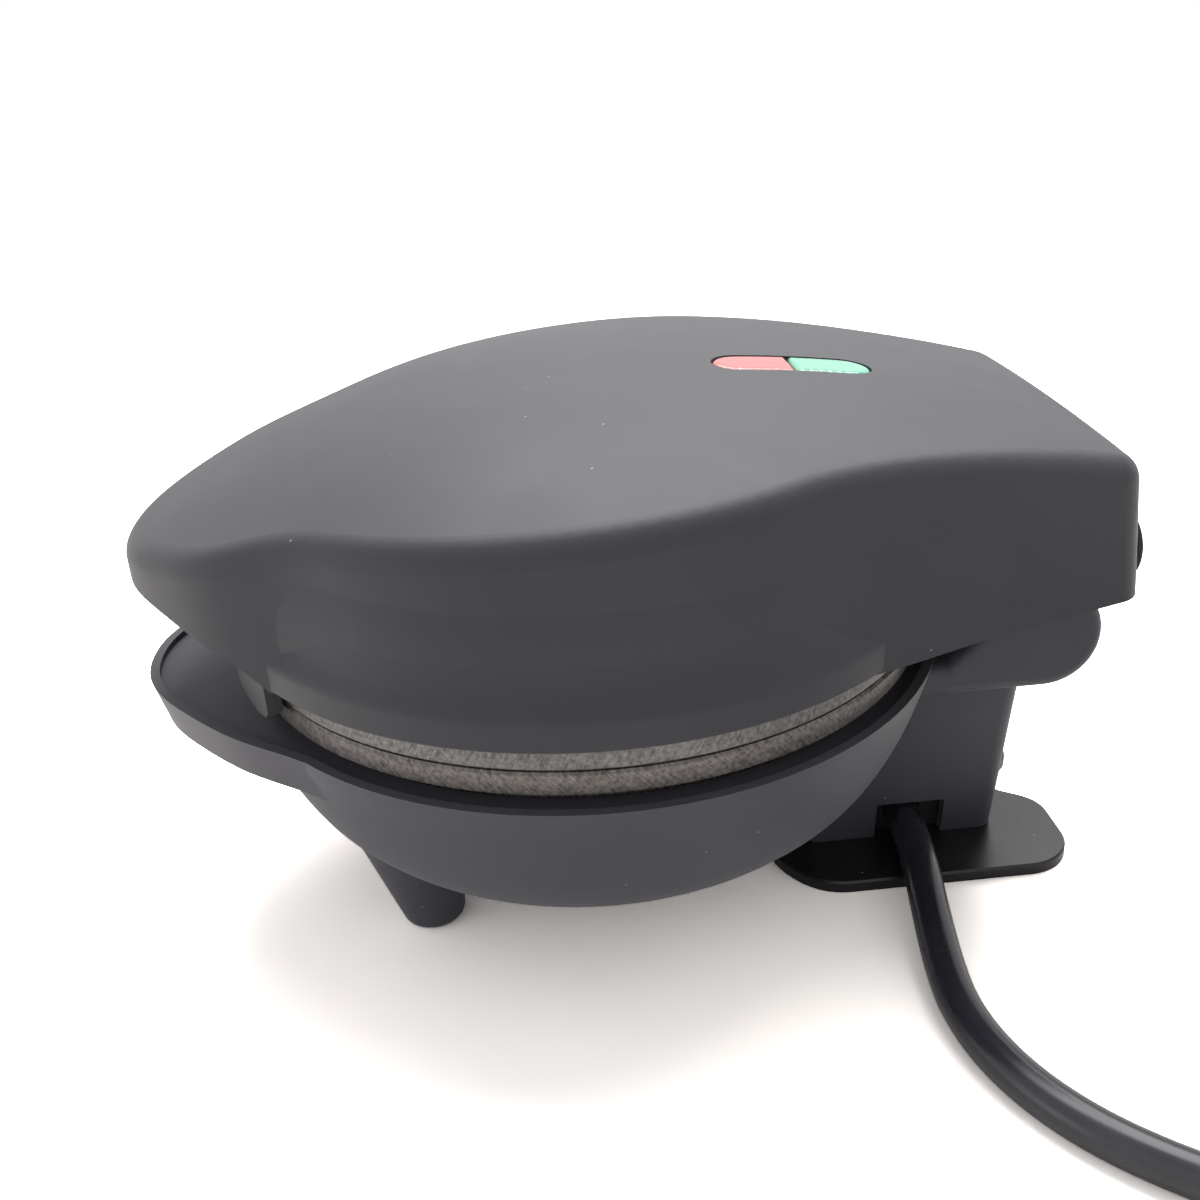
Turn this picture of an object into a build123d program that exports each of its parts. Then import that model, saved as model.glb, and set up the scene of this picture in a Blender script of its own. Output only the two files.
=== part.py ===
from build123d import *
import os
from math import cos, sin, tan, pi, radians, sqrt, dist

# Mini waffle maker. Millimetres. The model is drawn about the axis of the round plates:
# +Y runs to the hinge, -Y to the pointed grip, +X is the side where the lead comes out,
# +Z is up from the table. The last lines move it so that the middle of its footprint is at 0, 0.

# Cooking plates
plate_radius = 58.0
plate_body_radius = 54.5
cavity_radius = 52.5
floor_radius = 51.1
parting_z = 50.2
plate_gap = 0.3
lower_rim_depth = 3.65
upper_rim_depth = 6.95
cavity_depth = 6.95
plate_floor = 2.5
peg_pitch = 13.5
peg_base = 8.6
peg_top = 7.0
peg_height = 4.2
peg_limit = 50.5

# Bowl of the base: its outside as (radius, height) from the flat bottom to the rim
bowl_flat = 8.0
bowl_low_z = 5.4
bowl_profile = (
    (bowl_flat, bowl_low_z), (20.1, 7.0), (31.4, 10.0), (42.4, 15.0), (48.6, 19.5),
    (52.7, 24.0), (56.1, 30.0), (58.5, 36.0), (60.3, 42.0), (61.0, 45.2),
)
rim_radius = 61.0
rim_z = 45.2
lip_width = 1.6
lip_height = 1.0
deck_thickness = 2.2
wall = 2.2
deck_clearance = 0.7

# Front tongue of the base
tongue_reach = 76.8
tongue_depth = 7.3
tongue_join = -42.0
tongue_turn_in = 12.0
tongue_dive = 1.2
tongue_draft = 1.7

# Front feet
foot_x = 21.3
foot_y = -31.3
foot_radius = 5.2
foot_top_radius = 10.3
foot_lean = 2.9
foot_splay = 0.9
foot_top_z = 24.0

# Rear column and hinge head
column_half_low = 14.7
column_half_high = 20.0
column_front_y = 37.0
column_rear_low_y = 73.0
column_rear_high_y = 74.3
column_corner = 3.0
hinge_y = 74.3
hinge_z = 47.5
head_radius = 9.4
head_half = 27.0
head_front_y = 52.0
head_edge = 2.4

# Hinge
pin_radius = 2.0
pin_fit = 0.03
ear_fit = 0.06
web_in_x = 11.0
web_out_x = 14.5
ear_in_x = 16.0
ear_out_x = 21.0
ear_radius = 5.4
ear_slot_gap = 0.9
pin_end_x = 26.0
washer_thickness = 1.0
washer_radius = 4.4

# Foot plate
foot_plate_t = 2.2
foot_plate_half = 27.2
foot_plate_rear_y = 84.6
foot_plate_corner = 9.0
foot_plate_front_y = 31.0
foot_plate_notch = 7.8

# Lid shell
lid_wall = 2.4
lid_tip_y = -76.0
lid_radius = 58.0
belt_radius = 58.9
belly_top_z = 72.8
skirt_radius = 61.6
skirt_z = 55.3
skirt_height = 4.4
skirt_sweep = ((61.6, 59.4), (61.3, 60.5), (60.2, 62.2), (59.3, 64.4), (58.8, 67.0), (58.5, 70.0))
lid_rear_y = 85.2
lid_rear_half = 33.2
rear_lean = 2.6
rear_corner = 5.0
crease_round = 4.4
grip_edge = ((-90.0, 63.9), (-66.0, 63.8), (-58.6, 61.5), (-54.7, 59.3), (-50.6, 56.1), (-47.8, 53.0))
belly_start = -41.0
belt_start = -36.0
belt_sections = ((55.3, 0.0), (64.0, 0.02), (69.5, 0.2), (73.5, 0.75), (77.0, 1.6))
belt_drop = 5.2
belly_end = 28.0

# Tabs of the skirt, either side of the grip: a rounded lower edge as (place along the skirt, height)
tab_angle = -63.5
tab_inner = 59.1
tab_outer = 61.5
tab_edge = ((-7.4, 53.6), (-6.6, 51.6), (-4.4, 50.2), (-1.0, 49.5), (2.7, 49.2), (6.3, 49.3))
tab_end = 7.5
tab_end_z = 50.4
tab_root_z = 57.0

# Lid frame, which carries the upper plate and the hinge ears
frame_z = 63.8
frame_t = 2.0
frame_fit = 0.3
frame_hole = 52.0
lug_radius = 5.0
frame_notch_half = 10.5
pad_size = (14.5, 5.2)
pad_y = -66.6
pad_depth = 2.6
pad_round = 1.6

# Window with the two lenses
window_y = 36.8
window_length = 27.2
window_width = 9.4
lens_gap = 0.15
lens_drop = 0.5
holder_top_z = 84.0
holder_height = 7.5

# Screws
screw_ring = 48.0
screw_radius = 1.5
screw_hole = 1.65
head_r = 3.0
head_h = 1.6
post_radius = 4.8
boss_radius = 4.0
lower_angles = (-90.0, 30.0, 150.0)
upper_angles = (-90.0, 30.0, 150.0)

# Heating elements
heater_tube = 3.2
heater_half = 33.0
heater_corner = 25.0
heater_exit_x = 8.0
heater_exit_bend = 5.0
heater_end_y = 46.0
cold_pin_radius = 1.2
cold_pin_length = 6.0

# Rear bumpers
bumper_x = 25.0
bumper_z = 63.0
bumper_radius = 5.6
bumper_height = 1.3

# Lead
cord_radius = 3.2
cord_y = 55.8
cord_z = 6.4
cord_inner_x = 1.0
notch_front_y = 50.2
notch_rear_y = 62.8
notch_top_z = 9.9
grommet_play = 0.3
grommet_recess = 0.2
grommet_depth = 2.6

# Coil of the lead's spare length
coil_x = 93.0
coil_y = 127.0
coil_outer = 37.8
coil_pitch = 7.05
coil_lift = 1.2
coil_turns = 3.36
coil_start_angle = -40.0
coil_dip = 2.9
tie_angle = 180.0
tie_width = 5.0
tie_thickness = 0.8
tie_play = 0.35

# Plug
sleeve_length = 28.0
plug_radius = 18.5
plug_height = 24.0
plug_pin_radius = 2.4
plug_root_radius = 1.9
plug_pin_length = 19.0
plug_pin_spacing = 19.0


def disc(radius, low, high, x=0.0, y=0.0):
    """Upright cylinder from one height to another."""
    return Pos(x, y, (low + high) / 2) * Cylinder(radius, high - low)


def block(x0, x1, y0, y1, z0, z1):
    """Box between two corners."""
    middle = Pos((x0 + x1) / 2, (y0 + y1) / 2, (z0 + z1) / 2)
    return middle * Box(x1 - x0, y1 - y0, z1 - z0)


def rod_x(radius, x0, x1, y, z):
    """Cylinder along X."""
    return Pos((x0 + x1) / 2, y, z) * Rot(0, 90, 0) * Cylinder(radius, x1 - x0)


def turned(points):
    """Solid of revolution about Z from a closed outline of (radius, height)."""
    return revolve(Plane.XZ * make_face(Polyline(*points, close=True)), axis=Axis.Z)


def wire_tube(points, radius, bends):
    """Tube along straight runs joined by arcs."""
    path = FilletPolyline(*points, radius=bends)
    start = Plane(origin=path @ 0, z_dir=path % 0)
    return sweep(start * Circle(radius), path=path)


def both_sides(shape):
    """The shape and its mirror image across the middle."""
    return [shape, mirror(shape, about=Plane.YZ)]


def on_ring(radius, angle):
    """Point on a circle about the plate axis."""
    return radius * cos(radians(angle)), radius * sin(radians(angle))


# Outlines seen from above

def inset_curve(curve, distance, steps=8):
    """The curve moved to its left by a distance."""
    points = []
    for i in range(steps + 1):
        here, along = curve @ (i / steps), curve % (i / steps)
        points.append((here.X - along.Y * distance, here.Y + along.X * distance))
    return Spline(*points, tangents=[curve % 0, curve % 1])


def mirrored_face(half):
    """Face from the right-hand half of its outline."""
    return make_face(half + [mirror(edge, about=Plane.YZ) for edge in half])


def leaf_outline(inset=0.0):
    """Pointed grip, round belly and tapering rear of the lid, as a face."""
    a, b = radians(belly_start), radians(belly_end)
    front = (lid_radius * cos(a), lid_radius * sin(a))
    back = (lid_radius * cos(b), lid_radius * sin(b))
    grip = Spline((0, lid_tip_y), (23.8, -66.5), (33.4, -56.6), (37.2, -47.8), front,
                  tangents=[(1, 0), (-sin(a), cos(a))])
    flank = Spline(back, (43.9, 45.5), (lid_rear_half, lid_rear_y),
                   tangents=[(-sin(b), cos(b)), (-0.26, 1.0)])
    if inset:
        grip, flank = inset_curve(grip, inset), inset_curve(flank, inset)
    belly = CenterArc((0, 0), lid_radius - inset, belly_start, belly_end - belly_start)
    end = flank @ 1
    return mirrored_face([grip, belly, flank, Line((end.X, end.Y), (0, end.Y))])


def belt_outline(inset=0.0):
    """Round belly a little wider than the lid, running into its flanks at both ends."""
    a, b = radians(belt_start), radians(belly_end)
    lead = (belt_radius * cos(a), belt_radius * sin(a))
    back = (belt_radius * cos(b), belt_radius * sin(b))
    front = Spline((0, -62.0), (29.0, -59.6), (37.0, -47.9), lead, tangents=[(1, 0), (-sin(a), cos(a))])
    flank = Spline(back, (44.8, 45.5), (34.0, 79.0), tangents=[(-sin(b), cos(b)), (-0.27, 1.0)])
    if inset:
        front, flank = inset_curve(front, inset), inset_curve(flank, inset)
    belly = CenterArc((0, 0), belt_radius - inset, belt_start, belly_end - belt_start)
    end = flank @ 1
    return mirrored_face([front, belly, flank, Line((end.X, end.Y), (0, end.Y))])


def tongue_outline(inset=0.0):
    """Front tongue of the base, with its curves back into the round rim."""
    join, turn_in = radians(tongue_join), radians(tongue_turn_in)
    reach = rim_radius - tongue_dive
    corner = (reach * cos(join), reach * sin(join))
    side = Spline((0, -tongue_reach), (22.1, -66.9), (33.4, -55.3), (37.8, -49.1), corner,
                  tangents=[(1, 0), (-sin(join + turn_in), cos(join + turn_in))])
    if inset:
        side = inset_curve(side, inset)
    end = side @ 1
    return mirrored_face([side, Line((end.X, end.Y), (0, end.Y))])


# Lid top, a crowned surface: height on the middle line and how fast it falls to the sides
crown_sections = (
    (-86.0, 64.6, 0.0016), (-76.0, 70.4, 0.0016), (-57.0, 78.0, 0.0016),
    (-32.0, 85.6, 0.0016), (-5.0, 90.0, 0.0016), (22.0, 90.6, 0.0014),
    (50.0, 87.6, 0.0011), (82.0, 80.6, 0.0007), (90.0, 77.9, 0.0007),
)
crown_half = 70.0
crown_floor = 40.0


def crown_form():
    """Everything under the crowned top of the lid."""
    sections = []
    for y, middle, fall in crown_sections:
        side = middle - fall * crown_half ** 2
        arc = ThreePointArc((-crown_half, side), (0, middle), (crown_half, side))
        frame = Polyline((crown_half, side), (crown_half, crown_floor),
                         (-crown_half, crown_floor), (-crown_half, side))
        here = Plane(origin=(0, y, 0), x_dir=(1, 0, 0), z_dir=(0, -1, 0))
        sections.append(here * make_face([arc, frame]))
    return loft(sections)


crown = crown_form()
frame_top = frame_z + frame_t
lid_high = 100.0
rear_base_z = skirt_z + 1.6


def rear_cutter(y):
    """Material behind the leaning rear face of the lid."""
    points = ((y, skirt_z - 9), (y + 40, skirt_z - 9), (y + 40, lid_high), (y - rear_lean * 1.6, lid_high),
              (y, skirt_z + 8))
    return extrude(Plane.YZ * make_face(Polyline(*points, close=True)), amount=crown_half, both=True)


def grip_cutter(lift=0.0):
    """Everything under the front lower edge of the lid, which drops from the grip to the skirt."""
    edge = Spline(*[(y, z + lift) for y, z in grip_edge], tangents=[(1, 0), (0.6, -0.8)])
    first, last = edge @ 0, edge @ 1
    below = Polyline((last.X, last.Y), (last.X, skirt_z - 20), (first.X, skirt_z - 20), (first.X, first.Y))
    return extrude(Plane.YZ * make_face([edge, below]), amount=crown_half, both=True)


def skirt_form():
    """Round skirt that sweeps out from the belt to a straight band over the plates."""
    sweep_out = Spline(*skirt_sweep, tangents=[(0.0, 1.0), (0.0, 1.0)])
    low, high = sweep_out @ 0, sweep_out @ 1
    rest = Polyline((high.X, high.Y), (0, high.Y), (0, skirt_z), (skirt_radius - 0.5, skirt_z),
                    (skirt_radius, skirt_z + 0.5), (low.X, low.Y))
    return revolve(Plane.XZ * make_face([sweep_out, rest]), axis=Axis.Z)


def lid_outer():
    """Outside of the lid: leaf-shaped cover, soft belt and round skirt."""
    leaf = Pos(0, 0, skirt_z) * extrude(leaf_outline(), amount=lid_high - skirt_z)
    leaf -= rear_cutter(lid_rear_y)
    corners = [e for e in leaf.edges() if e.center().Y > lid_rear_y - 6
               and abs(e.center().X) > lid_rear_half - 3 and e.bounding_box().size.Z > 8]
    leaf = fillet(corners, rear_corner)
    leaf = leaf & crown
    leaf -= grip_cutter()
    crease = leaf.faces().sort_by(Axis.Z)[-1].edges()
    leaf = fillet(crease, crease_round)
    belt = loft([Pos(0, 0, z) * belt_outline(inset) for z, inset in belt_sections])
    belt = belt & (Pos(0, 0, -belt_drop) * crown)
    belt -= rear_cutter(lid_rear_y)
    belt -= grip_cutter(0.1)
    return leaf + belt + skirt_form()


def lid_inner():
    """Hollow of the lid."""
    leaf = Pos(0, 0, skirt_z - 5) * extrude(leaf_outline(lid_wall), amount=lid_high - skirt_z)
    leaf -= rear_cutter(lid_rear_y - lid_wall)
    leaf = leaf & (Pos(0, 0, -lid_wall) * crown)
    belly = disc(belt_radius - lid_wall, skirt_z - 5, belly_top_z)
    skirt = disc(skirt_radius - lid_wall, skirt_z - 5, skirt_z + skirt_height)
    return leaf + belly + skirt


def window_shape(length, width, low, high):
    """Long round-ended prism along Y."""
    straight = length - width
    prism = extrude(Rectangle(width, straight) + Pos(0, straight / 2) * Circle(width / 2)
                    + Pos(0, -straight / 2) * Circle(width / 2), amount=high - low)
    return Pos(0, window_y, low) * prism


grip_screw = (9.0, -66.0)
rear_screw = (28.0, 66.0)
holder_screw_offset = 18.6
holder_ear_z = 80.0


def tab_form():
    """Curved tab that hangs from the skirt in front of the plates."""
    edge = Spline(*tab_edge, tangents=[(0.1, -1), (1, 0.1)])
    first, last = edge @ 0, edge @ 1
    rest = Polyline((last.X, last.Y), (tab_end, tab_end_z), (tab_end, tab_root_z), (first.X, tab_root_z),
                    (first.X, first.Y))
    prism = extrude(Plane.XZ * make_face([edge, rest]), amount=tab_outer + 5)
    ring = disc(tab_outer, 0, lid_high) - disc(tab_inner, -1, lid_high + 1)
    return Rot(0, 0, tab_angle + 90) * prism & ring


def make_lid_shell():
    outer = lid_outer()
    shell = outer - lid_inner()
    posts = []
    for x, y in (grip_screw, rear_screw):
        post = disc(3.6, frame_top, lid_high, x, y)
        posts += both_sides(post - disc(screw_hole - 0.15, frame_top - 1, frame_top + 6, x, y))
    for side in (-1, 1):
        y = window_y + side * holder_screw_offset
        post = disc(2.8, holder_ear_z, lid_high, 0, y)
        posts.append(post - disc(1.1, holder_ear_z - 1, holder_ear_z + 5, 0, y))
    for post in posts:
        shell += post & outer
    slope = Polyline((44.0, skirt_z), (lid_rear_y + 9, rear_base_z + 0.4), (lid_rear_y + 9, skirt_z - 9),
                     (44.0, skirt_z - 9), close=True)
    shell -= extrude(Plane.YZ * make_face(slope), amount=crown_half, both=True)
    shell -= window_shape(window_length, window_width, holder_top_z - 2, lid_high)
    for tab in both_sides(tab_form()):
        shell += tab
    return shell


def make_lid_frame():
    frame = Pos(0, 0, frame_z) * extrude(leaf_outline(lid_wall + frame_fit), amount=frame_t)
    frame -= block(-lid_rear_half, lid_rear_half, lid_rear_y - lid_wall - frame_fit - 1.0, lid_rear_y + 1,
                   frame_z - 1, frame_top + 1)
    frame -= disc(frame_hole, frame_z - 1, frame_top + 1)
    for angle in upper_angles:
        x, y = on_ring(screw_ring, angle)
        lug = disc(lug_radius, frame_z, frame_top, x, y) + Rot(0, 0, angle) * block(
            screw_ring, frame_hole + 1, -lug_radius, lug_radius, frame_z, frame_top)
        frame += lug
    pad = extrude(Ellipse(*pad_size), amount=pad_depth)
    pad = fillet(pad.faces().sort_by(Axis.Z)[0].edges(), pad_round)
    frame += Pos(0, pad_y, frame_z - pad_depth) * pad
    for side in (-1, 1):
        for x, y in (grip_screw, rear_screw):
            frame -= disc(screw_hole, frame_z - 5, frame_top + 1, side * x, y)
        frame -= disc(head_r + 0.3, frame_z - 5, frame_z, side * grip_screw[0], grip_screw[1])
    for angle in upper_angles:
        frame -= disc(screw_hole, frame_z - 1, frame_top + 1, *on_ring(screw_ring, angle))
    ear = block(ear_in_x, ear_out_x, hinge_y - 4.2, hinge_y + 4.2, hinge_z, frame_z + 0.5)
    ear += rod_x(ear_radius, ear_in_x, ear_out_x, hinge_y, hinge_z)
    ear -= rod_x(pin_radius + ear_fit, ear_in_x - 1, ear_out_x + 1, hinge_y, hinge_z)
    for part in both_sides(ear):
        frame += part
    frame -= disc(3.2, frame_z - 1, frame_top + 1, 0, hinge_y)
    frame -= block(-frame_notch_half, frame_notch_half, heater_end_y, heater_end_y + 12.0, frame_z - 1,
                   frame_top + 1)
    return frame


# Cooking plates

lower_top = parting_z - plate_gap / 2
lower_floor_z = lower_top - cavity_depth
lower_under = lower_floor_z - plate_floor
upper_low = parting_z + plate_gap / 2
upper_roof_z = upper_low + cavity_depth
upper_over = upper_roof_z + plate_floor


def peg(height):
    """Square tapering peg that leaves one pocket in the waffle."""
    return loft([Rectangle(peg_base, peg_base), Pos(0, 0, height) * Rectangle(peg_top, peg_top)])


def peg_places():
    """Middles of the pegs whose corners stay inside the round cavity."""
    reach = int(cavity_radius // peg_pitch) + 1
    places = []
    for i in range(-reach, reach + 1):
        for j in range(-reach, reach + 1):
            x, y = i * peg_pitch, j * peg_pitch
            if (abs(x) + peg_base / 2) ** 2 + (abs(y) + peg_base / 2) ** 2 < peg_limit ** 2:
                places.append((x, y))
    return places


def make_lower_plate():
    plate = disc(floor_radius, lower_under, lower_floor_z)
    for x, y in peg_places():
        plate += Pos(x, y, lower_floor_z) * peg(peg_height)
    for angle in lower_angles:
        x, y = on_ring(screw_ring, angle)
        plate += disc(boss_radius, lower_boss_z, lower_under, x, y)
        plate -= disc(screw_hole - 0.05, lower_boss_z - 1, lower_under + 1.0, x, y)
    plate += disc(boss_radius, lower_bar_z, lower_under)
    plate -= disc(screw_hole - 0.05, lower_bar_z - 1, lower_under + 1.0)
    return plate


def make_lower_rim():
    """Raised rim of the lower plate, round its pegged floor."""
    return turned((
        (floor_radius, lower_under), (plate_body_radius, lower_under),
        (plate_body_radius, lower_top - lower_rim_depth), (plate_radius - 0.3, lower_top - lower_rim_depth),
        (plate_radius, lower_top - 0.4), (plate_radius - 0.4, lower_top), (cavity_radius, lower_top),
        (floor_radius, lower_floor_z)))


def make_upper_rim():
    """Rim of the upper plate, hanging round its pegged roof."""
    return turned((
        (floor_radius, upper_over), (plate_body_radius, upper_over),
        (plate_body_radius, upper_low + upper_rim_depth), (plate_radius - 0.3, upper_low + upper_rim_depth),
        (plate_radius, upper_low + 0.4), (plate_radius - 0.4, upper_low), (cavity_radius, upper_low),
        (floor_radius, upper_roof_z)))


def make_upper_plate():
    plate = disc(floor_radius, upper_roof_z, upper_over)
    for x, y in peg_places():
        plate += Pos(x, y, upper_roof_z) * Rot(180, 0, 0) * peg(peg_height)
    for angle in upper_angles:
        x, y = on_ring(screw_ring, angle)
        plate += disc(boss_radius, upper_over, frame_z, x, y)
        plate -= disc(screw_hole - 0.05, upper_over - 1.0, frame_z + 1, x, y)
    plate += disc(boss_radius, upper_over, upper_bar_z)
    plate -= disc(screw_hole - 0.05, upper_over - 1.0, upper_bar_z + 1)
    return plate


# Heights of what hangs below the lower plate and stands on the upper one
lower_bar_z = lower_under - 2 * heater_tube
upper_bar_z = upper_over + 2 * heater_tube
lower_boss_z = lower_under - 4.0
reflector_t = 0.6
lower_shield_z = lower_bar_z - 4.6
bar_t = 1.0
bar_half = 38.0
bar_width = 10.0
screw_head_z = 25.0


def heater(z):
    """Tubular element: a rounded square loop open at the rear, with a cold pin at each end."""
    h, e = heater_half, heater_exit_x
    points = ((e, heater_end_y, z), (e, h, z), (h, h, z), (h, -h, z), (-h, -h, z), (-h, h, z), (-e, h, z),
              (-e, heater_end_y, z))
    bends = [heater_exit_bend * 0.9] + [min(heater_corner, h - e - heater_exit_bend)] + [heater_corner] * 2 \
        + [min(heater_corner, h - e - heater_exit_bend)] + [heater_exit_bend * 0.9]
    element = wire_tube(points, heater_tube, bends)
    for x in (-e, e):
        pin = Pos(x, heater_end_y + cold_pin_length / 2 - 0.5, z) * Rot(90, 0, 0)
        element += pin * Cylinder(cold_pin_radius, cold_pin_length + 1)
    return element


def bar(low):
    """Steel bar that presses an element against its plate."""
    strip = block(-bar_half, bar_half, -bar_width / 2, bar_width / 2, low, low + bar_t)
    return strip - disc(screw_hole, low - 1, low + bar_t + 1)


def make_lower_shield():
    """Thin dish between the lower element and the bowl."""
    top = lower_shield_z + reflector_t
    dish = turned(((0, lower_shield_z), (47.5, lower_shield_z), (51.0, top + 1.0), (51.0, top + 1.6),
                   (47.2, top), (0, top)))
    for angle in lower_angles:
        dish -= disc(neck_radius + 0.2, lower_shield_z - 1, top + 3, *on_ring(screw_ring, angle))
    return dish


def make_upper_shield():
    """Dish over the upper element, clamped on the frame by the plate screws."""
    low, high = frame_top, frame_top + 4.8
    dish = turned(((43.6, low), (54.0, low), (54.0, low + reflector_t), (44.2, low + reflector_t),
                   (43.6, high), (0, high), (0, high - reflector_t), (43.0, high - reflector_t)))
    dish -= block(-12.0, 12.0, 40.0, 56.0, low - 1, high - 1.4)
    for angle in upper_angles:
        dish -= disc(screw_hole, low - 1, low + 2, *on_ring(screw_ring, angle))
    return dish


neck_radius = 3.0


def screw(x, y, seat, tip, facing):
    """Pan-head screw: the head stands off its seat towards facing, the shank runs to tip."""
    ends = sorted((seat, tip))
    shank = disc(screw_radius, ends[0], ends[1], x, y)
    cap = sorted((seat, seat + facing * head_h))
    head = disc(head_r, cap[0], cap[1], x, y)
    cross = block(x - 1.8, x + 1.8, y - 0.3, y + 0.3, cap[0] - 1, cap[1] + 1) \
        + block(x - 0.3, x + 0.3, y - 1.8, y + 1.8, cap[0] - 1, cap[1] + 1)
    outer_end = seat + facing * head_h
    depth = sorted((outer_end - facing * 0.8, outer_end + facing * 2))
    cross &= block(x - 3, x + 3, y - 3, y + 3, depth[0], depth[1])
    return shank + head - cross


# Base housing

deck_z = rim_z - lip_height
deck_under = deck_z - deck_thickness
deck_hole = plate_body_radius + deck_clearance


def bowl_form(inset=0.0):
    """Everything within the bowl, its outside moved in by an inset."""
    profile = Spline(*bowl_profile, tangents=[(1, 0.02), (0.12, 1)])
    if inset:
        profile = inset_curve(profile, inset, 12)
    low, high = profile @ 0, profile @ 1
    edges = [profile, Line((high.X, high.Y), (0, high.Y)), Line((0, high.Y), (0, low.Y)),
             Line((0, low.Y), (low.X, low.Y))]
    return revolve(Plane.XZ * make_face(edges), axis=Axis.Z)


def bowl_hollow():
    """Hollow of the bowl under the deck."""
    return bowl_form(wall) & disc(rim_radius, 0, deck_under)


def head_profile(radius, front_y, low_front):
    """Side view of the hinge head: sloping front, round back about the hinge."""
    s = radius / sqrt(2)
    start_z = rim_z - 1.0
    slope_y = hinge_y - s - (hinge_z + s - start_z)
    arc = ThreePointArc((hinge_y - s, hinge_z + s), (hinge_y + radius, hinge_z), (hinge_y, hinge_z - radius))
    rest = Polyline((hinge_y, hinge_z - radius), (front_y, hinge_z - radius), (front_y, low_front),
                    (slope_y, start_z), (hinge_y - s, hinge_z + s))
    return Plane.YZ * make_face([arc, rest])


def column_block(inset, low, high):
    """Tapered column, drawn between its foot and the hinge head."""
    def section(z, half, front, rear):
        face = RectangleRounded(2 * (half - inset), rear - front - 2 * inset, max(column_corner - inset, 0.6))
        return Pos(0, (front + rear) / 2, z) * face
    return loft([section(low, column_half_low, column_front_y, column_rear_low_y),
                 section(high, column_half_high, column_front_y + 4, column_rear_high_y)])


def make_base_housing():
    high = hinge_z - head_radius + 3.0
    column = column_block(0, foot_plate_t, high)
    column -= column_block(wall, foot_plate_t - 0.01, high - 0.01)
    head = extrude(head_profile(head_radius, head_front_y, deck_z), amount=head_half, both=True)
    ends = [e for f in (head.faces().sort_by(Axis.X)[0], head.faces().sort_by(Axis.X)[-1])
            for e in f.edges() if e.center().Y > head_front_y + 1]
    head = fillet(ends, head_edge)
    head_room = head_profile(head_radius - wall, head_front_y + wall, deck_z - 2)
    head -= extrude(head_room, amount=head_half - wall, both=True)
    webs = block(web_in_x, web_out_x, hinge_y - 7, hinge_y + 7, hinge_z - head_radius + 1, hinge_z + 6)
    boss = rod_x(4.6, ear_out_x + 1.6, head_half - 1, hinge_y, hinge_z)
    inside = extrude(head_profile(head_radius - 0.5, head_front_y + 0.5, deck_z - 1), amount=head_half - 0.5,
                     both=True)
    for part in both_sides(webs) + both_sides(boss):
        head += part & inside
    slots = block(ear_in_x - ear_slot_gap, ear_out_x + ear_slot_gap, hinge_y - ear_radius - ear_slot_gap,
                  hinge_y + 20, hinge_z - ear_radius - ear_slot_gap, hinge_z + 20)
    for part in both_sides(slots):
        head -= part
    head -= block(-wire_slot, wire_slot, hinge_y - wire_slot, hinge_y + 20, hinge_z - wire_slot, hinge_z + 20)
    for part in both_sides(rod_x(pin_radius + pin_fit, web_in_x - 1, pin_end_x + 0.1, hinge_y, hinge_z)):
        head -= part
    housing = column + head
    throat = block(-column_half_low + wall, column_half_low - wall, 52.0, column_rear_low_y - wall, 20.0,
                   hinge_z - 4.0)
    housing -= throat
    housing -= bowl_form(wall / 2)
    shell = bowl_form() - bowl_hollow()
    tongue_low = rim_z - tongue_depth
    tongue = loft([Pos(0, 0, tongue_low) * tongue_outline(tongue_draft), Pos(0, 0, rim_z) * tongue_outline()])
    tongue -= loft([Pos(0, 0, tongue_low - 0.1) * tongue_outline(tongue_draft + wall),
                    Pos(0, 0, deck_under) * tongue_outline(wall)])
    tongue -= disc(rim_radius - 3.0, rim_z - tongue_depth - 2, deck_under)
    shell += tongue
    shell += housing
    recess = disc(rim_radius - lip_width, deck_z, rim_z + 15)
    recess += Pos(0, 0, deck_z) * extrude(tongue_outline(lip_width), amount=15)
    shell -= recess
    shell -= disc(deck_hole, deck_under - 1, rim_z)
    shell -= block(-window_half, window_half, 46.0, 62.0, window_low, deck_under - 0.4)
    for side in (-1, 1):
        base = Pos(side * foot_x, foot_y, 0) * Circle(foot_radius)
        top = Pos(side * (foot_x + foot_splay), foot_y - foot_lean, foot_top_z) * Circle(foot_top_radius)
        foot = loft([base, top])
        foot = fillet(foot.faces().sort_by(Axis.Z)[0].edges(), 2.2)
        shell += foot - bowl_form(wall / 2)
    for angle in lower_angles:
        x, y = on_ring(screw_ring, angle)
        post = disc(post_radius, 12.0, lower_shield_z, x, y) + disc(neck_radius, 12.0, lower_boss_z, x, y)
        shell += post & bowl_form(wall / 2)
        shell -= disc(screw_hole, 5.0, lower_boss_z + 1, x, y)
        shell -= disc(head_r + 0.4, 5.0, screw_head_z, x, y)
    shell -= block(column_half_low - wall - 2, column_half_high + 2, notch_front_y, notch_rear_y,
                   foot_plate_t - 1, notch_top_z)
    for x, y in foot_screws:
        boss = disc(foot_boss_radius, foot_plate_t, 16.0, x, y)
        shell += boss - bowl_form(wall / 2) - disc(screw_hole - 0.15, 0, 12.0, x, y)
    return shell


wire_slot = 4.2
window_half = 11.0
window_low = 33.0
foot_boss_radius = 3.4
foot_boss_sink = 0.4
foot_screws = ((-8.5, 42.5), (8.5, 42.5), (0.0, column_rear_low_y - wall - foot_boss_radius + foot_boss_sink))


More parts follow.
